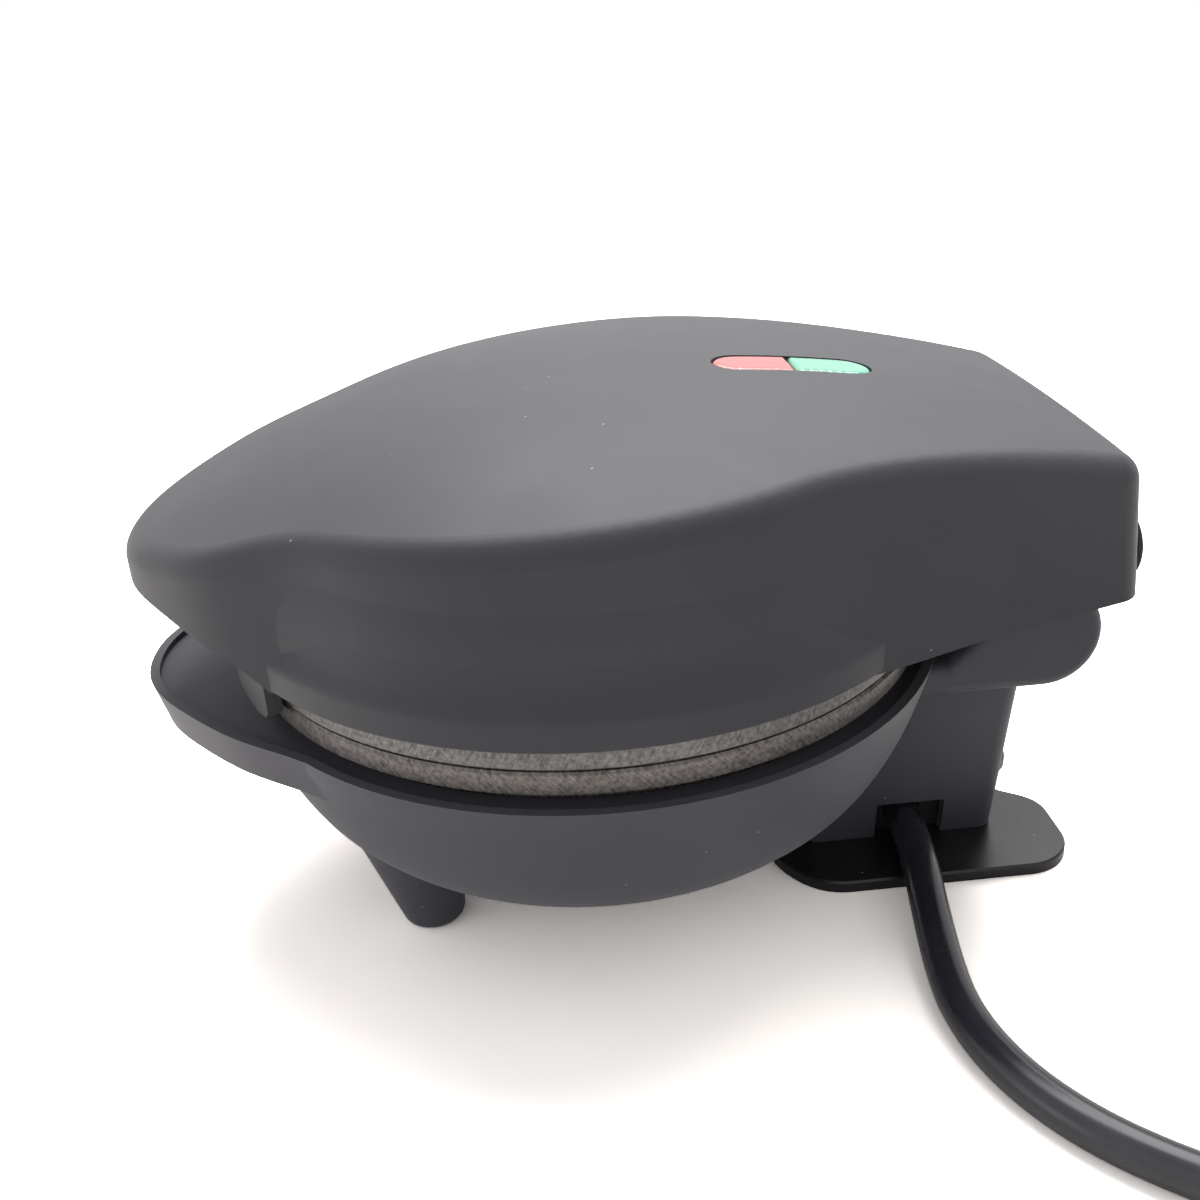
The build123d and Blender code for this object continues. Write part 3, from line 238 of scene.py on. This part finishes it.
# %%
# The lead as one NURBS curve
lead_curve = bpy.data.curves.new("lead", "CURVE")
lead_curve.dimensions = "3D"
spline = lead_curve.splines.new("NURBS")
spline.points.add(len(lead_points) - 1)
for control, place in zip(spline.points, lead_points):
    control.co = (*place, 1.0)
    control.radius = CORD_RADIUS * MM
spline.order_u = 3
spline.use_endpoint_u = True
spline.resolution_u = 8
lead_curve.bevel_depth = 1.0
lead_curve.bevel_resolution = 8
lead_curve.use_fill_caps = True
lead = bpy.data.objects.new("lead", lead_curve)
scene.collection.objects.link(lead)
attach(lead, "base")
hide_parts("power_cord", "cord_coil")
print("lead starts at", [round(c, 4) for c in lead_points[0]])
print("lead ends at", [round(c, 4) for c in lead_points[-1]])

# %% [markdown]
# ## Soft-touch charcoal
# Bowl and lid are ABS with a rubberised lacquer. The mould's fine spark grain still shows
# through it, about a third of a millimetre from grain to grain. The lacquer is matt but not
# dull: it brightens at a low angle, and it holds a little dust and faint scuffs.

# %%
# Finish of the bowl and the lid
DUSTY_PATCH = 17
SPECK_CORE = 0.7


def dusted(tree, place, colour, dust, cell_mm, speck_mm):
    """A colour with pale specks of dust, one to a cell, speck_mm from their middle to their edge."""
    cells = add_node(tree, "ShaderNodeTexVoronoi", {"Vector": place, "Scale": 1 / (cell_mm * MM)})
    size = speck_mm / cell_mm
    spot = between(tree, cells.outputs["Distance"], 1.0, 0.0, SPECK_CORE * size, size)
    rare = between(tree, grain(tree, place, DUSTY_PATCH, 0.0), 0.0, 1.0, 0.50, 0.54)
    return overlay(tree, multiply(tree, spot, rare), colour, dust)


def soft_touch(name, body, worn):
    material, tree, shader, place = start_material(
        name, Roughness=0.5, IOR=1.47, Sheen_Weight=0.12, Sheen_Roughness=0.5)
    cloud = grain(tree, place, 30, 4.0)
    colour = blend_colour(tree, cloud, body, worn, 0.30, 0.75)
    tree.links.new(dusted(tree, place, colour, "9A9A9C", 6.0, 0.22), shader.inputs["Base Color"])
    rubbed = grain(tree, place, 16.0, 4.0)
    tree.links.new(between(tree, rubbed, 0.50, 0.54), shader.inputs["Roughness"])
    relief(tree, shader, grain(tree, place, 0.35, 1.0), 0.012, 0.55)
    return material


print("soft touch finish ready")

# %% [markdown]
# ## The other plastics and rubbers
# The foot plate is bare ABS from a polished mould, so it is glossier than the bowl. The lead's
# jacket is smooth PVC. Grommet and bumpers are EPDM rubber, matt and slightly chalky.

# %%
# Finishes of the bare plastics
def polished_abs(name, body, worn):
    material, tree, shader, place = start_material(name, IOR=1.42, Roughness=0.3)
    colour = blend_colour(tree, grain(tree, place, 14, 3.0), body, worn)
    tree.links.new(dusted(tree, place, colour, "B4B2B2", 4.0, 0.2), shader.inputs["Base Color"])
    tree.links.new(between(tree, grain(tree, place, 9.0, 2.0), 0.27, 0.33), shader.inputs["Roughness"])
    relief(tree, shader, grain(tree, place, 8.0, 1.0), 0.01, 0.2)
    return material


def pvc_jacket(name, body, worn):
    material, tree, shader, place = start_material(name, IOR=1.54, Roughness=0.26)
    colour = blend_colour(tree, grain(tree, place, 9, 2.0), body, worn)
    tree.links.new(dusted(tree, place, colour, "8A8A8C", 5.0, 0.2), shader.inputs["Base Color"])
    tree.links.new(between(tree, grain(tree, place, 7, 2.0), 0.24, 0.30), shader.inputs["Roughness"])
    relief(tree, shader, grain(tree, place, 5.0, 1.0), 0.008, 0.2)
    return material


def epdm_rubber(name, body, worn):
    material, tree, shader, place = start_material(name, IOR=1.5, Roughness=0.75)
    tree.links.new(blend_colour(tree, grain(tree, place, 3, 4.0), body, worn), shader.inputs["Base Color"])
    tree.links.new(between(tree, grain(tree, place, 1.0, 2.0), 0.66, 0.84), shader.inputs["Roughness"])
    relief(tree, shader, grain(tree, place, 0.5, 2.0), 0.02, 0.5)
    return material


print("plastics and rubbers ready")

# %% [markdown]
# ## Coated cast aluminium
# The cooking plates are die-cast and sprayed with a grey non-stick coat. Their rims were
# linished on a belt after casting, which leaves fine streaks that slant round the rim, and the
# coat is mottled over them. The streaks follow the rim, so the pattern is drawn in
# unrolled coordinates: the angle about the plates' axis, and the height.

# %%
# Finish of the cooking plates
RIM_RADIUS = 58


def coated_plate(name, body, pale, slant):
    material, tree, shader, place = start_material(name, Metallic=0.55, Roughness=0.42)
    parts = add_node(tree, "ShaderNodeSeparateXYZ", {"Vector": place})
    from_axis = add_node(tree, "ShaderNodeMath", {0: parts.outputs["Y"], 1: PLATE_Y}, operation="SUBTRACT")
    angle = add_node(tree, "ShaderNodeMath", {0: from_axis.outputs[0], 1: parts.outputs["X"]},
                     operation="ARCTAN2")
    round_rim = multiply(tree, angle.outputs[0], RIM_RADIUS * MM)
    leaning = add_node(tree, "ShaderNodeMath", {0: parts.outputs["Z"], 1: slant, 2: round_rim},
                       operation="MULTIPLY_ADD")
    unrolled = add_node(tree, "ShaderNodeCombineXYZ", {"X": leaning.outputs[0], "Y": parts.outputs["Z"]})
    streak = grain(tree, unrolled.outputs[0], 0.3, 3.0, (1, 9, 1))
    mottle = grain(tree, place, 0.7, 3.0)
    both = add_node(tree, "ShaderNodeMath", {0: streak, 1: mottle}, operation="ADD")
    half = multiply(tree, both.outputs[0], 0.5)
    tree.links.new(blend_colour(tree, half, body, pale, 0.34, 0.66), shader.inputs["Base Color"])
    tree.links.new(between(tree, streak, 0.38, 0.56), shader.inputs["Roughness"])
    relief(tree, shader, half, 0.05, 0.6)
    return material


print("cooking plate finish ready")

# %% [markdown]
# ## Bare metals
# Sheet parts are rolled steel, with lines along the roll. Screws are zinc plated and a little
# bluish. The elements' sheaths turn brown where they get hot. Terminals and tabs are brass.

# %%
# Finishes of the metals
def bare_metal(name, body, stained, blotch_mm, rough=(0.25, 0.42), lines=(12, 1, 1)):
    material, tree, shader, place = start_material(name, Metallic=1.0, Roughness=0.3)
    tree.links.new(blend_colour(tree, grain(tree, place, blotch_mm, 3.0), body, stained),
                   shader.inputs["Base Color"])
    fine = grain(tree, place, 0.4, 2.0, lines)
    tree.links.new(between(tree, fine, *rough), shader.inputs["Roughness"])
    relief(tree, shader, fine, 0.01, 0.5)
    return material


print("metals ready")

# %% [markdown]
# ## Ceramic, glass, braid and strap
# These are inside or out of sight most of the time: glazed steatite holders, neon lamps in
# clear glass, wires in silicone, a braided glass-fibre sleeve and a woven nylon strap round the
# coil. Braid and strap get crossed waves at the spacing of their yarns.

# %%
# Finishes of the small parts
def glazed(name, body, worn):
    material, tree, shader, place = start_material(name, IOR=1.54, Roughness=0.18)
    tree.links.new(blend_colour(tree, grain(tree, place, 6, 3.0), body, worn), shader.inputs["Base Color"])
    relief(tree, shader, grain(tree, place, 2.5, 2.0), 0.03, 0.4)
    return material


def woven(name, body, thread, yarn_mm, roughness):
    material, tree, shader, place = start_material(name, IOR=1.5, Roughness=roughness)
    waves = []
    for direction in ("X", "Z"):
        waves.append(add_node(tree, "ShaderNodeTexWave", {
            "Vector": place, "Scale": WAVE_REPEAT / (yarn_mm * MM), "Distortion": 0.6},
            bands_direction=direction))
    crossed = multiply(tree, waves[0].outputs["Fac"], waves[1].outputs["Fac"])
    tree.links.new(blend_colour(tree, crossed, body, thread, 0.1, 0.8), shader.inputs["Base Color"])
    relief(tree, shader, crossed, 0.15, 0.7)
    return material


def clear_glass(name, tint):
    material, tree, shader, place = start_material(
        name, IOR=1.5, Roughness=0.03, Transmission_Weight=0.9, Base_Color=linear(tint))
    relief(tree, shader, grain(tree, place, 5, 1.0), 0.02, 0.2)
    return material


print("small parts' finishes ready")

# %% [markdown]
# ## Dressing the imported parts
# Each imported part takes the finish of what it is made of; the lid's copy of the lacquer is
# painted darker than the bowl's, to offset the strong light on the lid's top. A shape that is right
# stays as CAD made it; only its material is new.

# %%
# Give every imported part its finish
# One lacquer for lid and bowl: the lid's copy is painted darker, to offset the strong light on its top
lid_lacquer_painted_darker = soft_touch("rubberised_lacquer_on_lid_painted_darker", "303037", "36363D")
charcoal_base = soft_touch("rubberised_lacquer_on_bowl", "46464E", "4D4D56")
foot_gloss = polished_abs("polished_abs", "201F22", "272528")
frame_black = polished_abs("moulded_pbt", "1E1E20", "29292B")
jacket = pvc_jacket("pvc_jacket", "282930", "2F3038")
rubber = epdm_rubber("epdm_rubber", "0A0A0B", "121213")
plate_low = coated_plate("coated_cast_aluminium_low", "514D4C", "A39D9A", 0.9)
plate_high = coated_plate("coated_cast_aluminium_high", "4E4C4C", "969392", -0.5)
zinc = bare_metal("zinc_plated_steel", "A9AEB4", "8A8F96", 2.0)
sheet_steel = bare_metal("rolled_sheet_steel", "9C9C9A", "7F7E7B", 8.0, (0.30, 0.5))
sheath = bare_metal("heated_alloy_sheath", "6F655B", "4A4038", 5.0, (0.4, 0.6), (1, 1, 1))
brass = bare_metal("rolled_brass", "C59A4E", "9E7736", 4.0)
steatite = glazed("glazed_steatite", "DEDBD0", "CFCABB")
silicone = epdm_rubber("silicone_wire_jacket", "A8A49B", "94908A")
braid = woven("glass_fibre_braid", "B3AD9B", "D9D4C6", 0.9, 0.6)
strap_weave = woven("woven_nylon", "101011", "2A2A2C", 0.8, 0.6)
neon_glass = clear_glass("lamp_glass", "F2E4DC")

finishes = {
    lid_lacquer_painted_darker: ("lid_shell",),
    charcoal_base: ("base_housing",),
    foot_gloss: ("foot_plate",),
    frame_black: ("lid_frame", "cord_clamp"),
    jacket: ("plug_sleeve", "plug_body"),
    rubber: ("rear_bumpers", "cord_grommet"),
    plate_low: ("lower_plate", "lower_plate_rim"),
    plate_high: ("upper_plate", "upper_plate_rim"),
    zinc: ("foot_plate_screws", "lower_plate_screws", "lower_bar_screw", "cord_clamp_screws", "lid_screws",
           "upper_plate_screws", "upper_bar_screw", "lamp_holder_screws", "plug_pins", "plug_earth_clips",
           "thermal_fuse"),
    sheet_steel: ("lower_element_bar", "lower_reflector", "fuse_clip", "hinge_pins", "hinge_washers",
                  "upper_element_bar", "upper_reflector", "thermostat", "thermostat_bracket"),
    sheath: ("lower_heater", "upper_heater"),
    brass: ("earth_tab", "terminal_screws"),
    steatite: ("terminal_block", "lamp_holder"),
    silicone: ("base_wires", "lid_wires"),
    braid: ("base_wire_sleeve", "lid_wire_sleeve"),
    strap_weave: ("cord_tie",),
    neon_glass: ("neon_lamps",),
}
for finish, names in finishes.items():
    for name in names:
        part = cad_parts[name]
        part.data.materials.clear()
        part.data.materials.append(finish)
lead.data.materials.append(jacket)
print("dressed", sum(len(names) for names in finishes.values()), "packed parts")

# %% [markdown]
# ## The pilot lights
# One long round-ended window holds a red and a green lens end to end. Each is tinted acrylic:
# a smooth top with a rounded shoulder and small ribs moulded round its foot. Its colour holds painted
# light and shade: a pale middle painted as the lamp's light spread through it, and a deeper tint at
# the shoulder with a row of darker teeth along the near edge, painted as the shade of the ribs. The
# colour is drawn across the lens, from its middle line outwards, in the piece's own coordinates.

# %%
# Tinted acrylic
LENS_WIDTH = 9.1
TOOTH_PITCH = 1.5
SHADED_RIM_FROM = 3.0
SHADED_RIM_FULL = 4.1


def tinted_acrylic(name, painted_lit_middle, rim_tint_and_shade, painted_rib_shade):
    material, tree, shader, place = start_material(
        name, IOR=1.49, Roughness=0.12, Coat_Weight=0.5, Coat_Roughness=0.05, Transmission_Weight=0.12)
    axes = add_node(tree, "ShaderNodeSeparateXYZ", {"Vector": place})
    off_middle = add_node(tree, "ShaderNodeMath", {0: axes.outputs["X"]}, operation="ABSOLUTE").outputs[0]
    # Deeper colour towards the edge: the tint with painted shade of the shoulder
    rim = between(tree, off_middle, 0.0, 1.0, SHADED_RIM_FROM * MM, SHADED_RIM_FULL * MM)
    row = add_node(tree, "ShaderNodeTexWave", {
        "Vector": place, "Scale": WAVE_REPEAT / (TOOTH_PITCH * MM), "Distortion": 1.2}, bands_direction="Y")
    # Darker teeth at the rib pitch: painted shade of the ribs
    cut = between(tree, row.outputs["Fac"], 1.0 - painted_rib_shade, 1.0, 0.2, 0.6)
    coloured = overlay(tree, multiply(tree, rim, cut), linear(painted_lit_middle), rim_tint_and_shade)
    tree.links.new(coloured, shader.inputs["Base Color"])
    tree.links.new(between(tree, grain(tree, place, 1.6, 3.0), 0.07, 0.2), shader.inputs["Roughness"])
    relief(tree, shader, grain(tree, place, 3.0, 1.0), 0.02, 0.3)
    return material


# First colour: the pale middle, painted lamp light; second: the tint with painted shade
red_acrylic = tinted_acrylic("red_acrylic", "EE7A78", "C23E3C", 0.45)
green_acrylic = tinted_acrylic("green_acrylic", "86E6C2", "0A8A63", 0.9)
print("lens finishes ready")

# %% [markdown]
# The window runs along the lid's middle line. Each lens is half a pill, 9.1 mm wide and 13.3 mm
# long, so it starts as a round disc. The disc's inner half is pulled out straight to the seam,
# the outline is extruded up, its shoulder is bevelled, and last the top is laid parallel to the
# lid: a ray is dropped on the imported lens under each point, and the point follows its height,
# LENS_RAISE above it, because the real lenses come nearly level with the lid.

# %%
# Model a lens by hand
WINDOW_Y = 36.8 + FRAME_SHIFT_Y
WINDOW_HALF = 26.9 / 2
LENS_FLOOR_Z = 84.0
LENS_SEAM_HALF = 0.12
SHOULDER = 0.9
LENS_RAISE = 0.5
OUTLINE_POINTS = 64
CUTS_ALONG = 12
CUTS_ACROSS = 4
PROBE_Z = 0.2
PROBE_IN_X = 0.97
PROBE_IN_Y = 0.985


def edit(piece):
    """Make a piece the only selected one and open it for editing its points, none selected."""
    bpy.ops.object.select_all(action="DESELECT")
    piece.select_set(True)
    bpy.context.view_layer.objects.active = piece
    bpy.ops.object.mode_set(mode="EDIT")
    bpy.ops.mesh.select_mode(type="VERT")
    bpy.ops.mesh.select_all(action="DESELECT")


def choose(piece, wanted):
    """Select the points of a mesh that pass a test of their place in millimetres."""
    grid = bmesh.from_edit_mesh(piece.data)
    for element in (*grid.verts, *grid.edges, *grid.faces):
        element.select = False
    for vertex in grid.verts:
        vertex.select = wanted(vertex.co / MM)
    grid.select_flush(True)
    bmesh.update_edit_mesh(piece.data)


def lens_half(name, packed_name, side):
    """Half of the pill; side is -1 towards the grip and 1 towards the hinge."""
    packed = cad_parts[packed_name]
    radius = LENS_WIDTH / 2
    centre_y = WINDOW_Y + side * (WINDOW_HALF - radius)
    seam_y = WINDOW_Y + side * LENS_SEAM_HALF
    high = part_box(packed_name)[1].z / MM
    bpy.ops.object.select_all(action="DESELECT")
    bpy.ops.mesh.primitive_circle_add(vertices=OUTLINE_POINTS, radius=radius * MM, fill_type="NGON",
                                      location=(0, centre_y * MM, LENS_FLOOR_Z * MM))
    piece = bpy.context.object
    piece.name = name
    bpy.ops.object.transform_apply(location=True)
    edit(piece)
    bpy.ops.mesh.select_all(action="SELECT")
    bpy.ops.mesh.bisect(plane_co=(0, centre_y * MM, LENS_FLOOR_Z * MM), plane_no=(0, side, 0),
                        use_fill=False, clear_inner=True)
    choose(piece, lambda p: abs(p.y - centre_y) < 0.02)
    bpy.ops.mesh.extrude_region_move(TRANSFORM_OT_translate={"value": (0, (seam_y - centre_y) * MM, 0)})
    bpy.ops.mesh.select_all(action="SELECT")
    bpy.ops.mesh.extrude_region_move(TRANSFORM_OT_translate={"value": (0, 0, (high - LENS_FLOOR_Z) * MM)})
    choose(piece, lambda p: p.z > high - 0.01)
    bpy.ops.mesh.bevel(offset=SHOULDER * MM, segments=5, affect="EDGES")
    for cut in range(1, CUTS_ALONG):
        y = seam_y + (centre_y + side * radius - seam_y) * cut / CUTS_ALONG
        bpy.ops.mesh.select_all(action="SELECT")
        bpy.ops.mesh.bisect(plane_co=(0, y * MM, 0), plane_no=(0, 1, 0))
    for cut in range(1 - CUTS_ACROSS, CUTS_ACROSS):
        bpy.ops.mesh.select_all(action="SELECT")
        bpy.ops.mesh.bisect(plane_co=(cut * radius / CUTS_ACROSS * MM, 0, 0), plane_no=(1, 0, 0))
    bpy.ops.mesh.select_all(action="SELECT")
    bpy.ops.mesh.normals_make_consistent(inside=False)
    bpy.ops.object.mode_set(mode="OBJECT")
    for vertex in piece.data.vertices:
        place = vertex.co
        if place.z < (high - SHOULDER - 0.05) * MM:
            continue
        probe_y = centre_y * MM + (place.y - centre_y * MM) * PROBE_IN_Y
        above = Vector((place.x * PROBE_IN_X, probe_y, PROBE_Z))
        hit, point, *_ = packed.ray_cast(above, Vector((0, 0, -1)))
        if hit:
            vertex.co.z -= (high - LENS_RAISE) * MM - point.z
    bpy.ops.object.shade_smooth_by_angle(angle=math.radians(40))
    return piece


red_lens = lens_half("red_pilot_lens", "red_lens", -1)
green_lens = lens_half("green_pilot_lens", "green_lens", 1)
for piece, packed_name, finish, slot in ((red_lens, "red_lens", red_acrylic, "lens_red"),
                                         (green_lens, "green_lens", green_acrylic, "lens_green")):
    piece.data.materials.append(finish)
    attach(piece, "lid")
    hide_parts(packed_name)
    print(piece.name, "faces:", len(piece.data.polygons))

# %% [markdown]
# ## Floor, light and background
# The photograph has a white table, a white surround and broad soft light from above, a little
# from behind, so the lid's top is bright and its near side dark. The photograph is exposed for
# the dark plastic, which burns the table out to white: to the camera the floor is FLOOR_GAIN
# times as bright as it is, so only the deepest part of the object's soft shadow shows.

# %%
# Rays that should see the white surround: straight from the camera, through glass, or off gloss
def sees_surround(tree, off_gloss):
    """1 for rays straight from the camera or through glass, off_gloss for mirrored ones, else 0."""
    paths = add_node(tree, "ShaderNodeLightPath")
    direct = add_node(tree, "ShaderNodeMath", {
        0: paths.outputs["Is Camera Ray"], 1: paths.outputs["Is Transmission Ray"]}, operation="MAXIMUM")
    mirrored = multiply(tree, paths.outputs["Is Glossy Ray"], off_gloss)
    return add_node(tree, "ShaderNodeMath", {
        0: direct.outputs[0], 1: mirrored}, operation="MAXIMUM").outputs[0]


# %%
# Floor: its own pale colour near the object, plain white to the eye further out
WHITE_FROM = 240
WHITE_BY = 520
FLOOR_GAIN = 3.4
FLOOR_IN_GLOSS = 0.15

bpy.ops.object.select_all(action="DESELECT")
bpy.ops.mesh.primitive_plane_add(size=6.0, location=(0, 0, 0))
floor = bpy.context.object
floor.name = "floor"
floor_material, tree, shader, place = start_material("pale_table", Roughness=0.5, IOR=1.3)
table = blend_colour(tree, grain(tree, place, 60, 3.0), "F8F2EC", "F1ECE7")
gain = between(tree, sees_surround(tree, FLOOR_IN_GLOSS), 1.0, FLOOR_GAIN, 0.0, 1.0)
exposed = add_node(tree, "ShaderNodeVectorMath", {0: table, "Scale": gain}, operation="SCALE")
tree.links.new(exposed.outputs["Vector"], shader.inputs["Base Color"])
reach = add_node(tree, "ShaderNodeVectorMath", {0: place}, operation="LENGTH").outputs["Value"]
far = between(tree, reach, 0.0, 1.0, WHITE_FROM * MM, WHITE_BY * MM)
far_and_seen = multiply(tree, far, sees_surround(tree, 1.0))
glow = add_node(tree, "ShaderNodeEmission", {"Color": (1, 1, 1, 1), "Strength": 1.0})
both = add_node(tree, "ShaderNodeMixShader", {0: far_and_seen, 1: shader.outputs[0], 2: glow.outputs[0]})
tree.links.new(both.outputs[0], tree.nodes["Material Output"].inputs["Surface"])
floor.data.materials.append(floor_material)

# %%
# World: white to those rays, a plain fill for the rest
world = bpy.data.worlds.new("surround")
scene.world = world
world.use_nodes = True
tree = world.node_tree
tree.nodes.clear()
fill = add_node(tree, "ShaderNodeBackground", {"Color": linear("F4F5F7"), "Strength": 0.42})
white = add_node(tree, "ShaderNodeBackground", {"Color": (1, 1, 1, 1), "Strength": 1.0})
mix = add_node(tree, "ShaderNodeMixShader", {
    0: sees_surround(tree, 1.0), 1: fill.outputs[0], 2: white.outputs[0]})
add_node(tree, "ShaderNodeOutputWorld", {"Surface": mix.outputs[0]})

# %%
# Lamps
def soft_lamp(name, place, aim, size, watts):
    bpy.ops.object.light_add(type="AREA", location=place)
    lamp = bpy.context.object
    lamp.name = name
    lamp.data.shape = "SQUARE"
    lamp.data.size = size
    lamp.data.energy = watts
    lamp.rotation_euler = (Vector(aim) - Vector(place)).to_track_quat("-Z", "Y").to_euler()
    return lamp


soft_lamp("overhead", (-0.45, 0.12, 0.90), (0, 0, 0.05), 0.9, 13.0)
soft_lamp("front_fill", (0.9, -0.5, 0.55), (0, 0, 0.05), 0.8, 0.4)
soft_lamp("grip_side_fill", (0.30, -0.95, 0.18), (0, -0.05, 0.04), 0.5, 0.8)
scene.view_settings.view_transform = "Standard"

# %% [markdown]
# ## Closing
# The view layer is brought up to date.

# %%
# Update the view layer
bpy.context.view_layer.update()
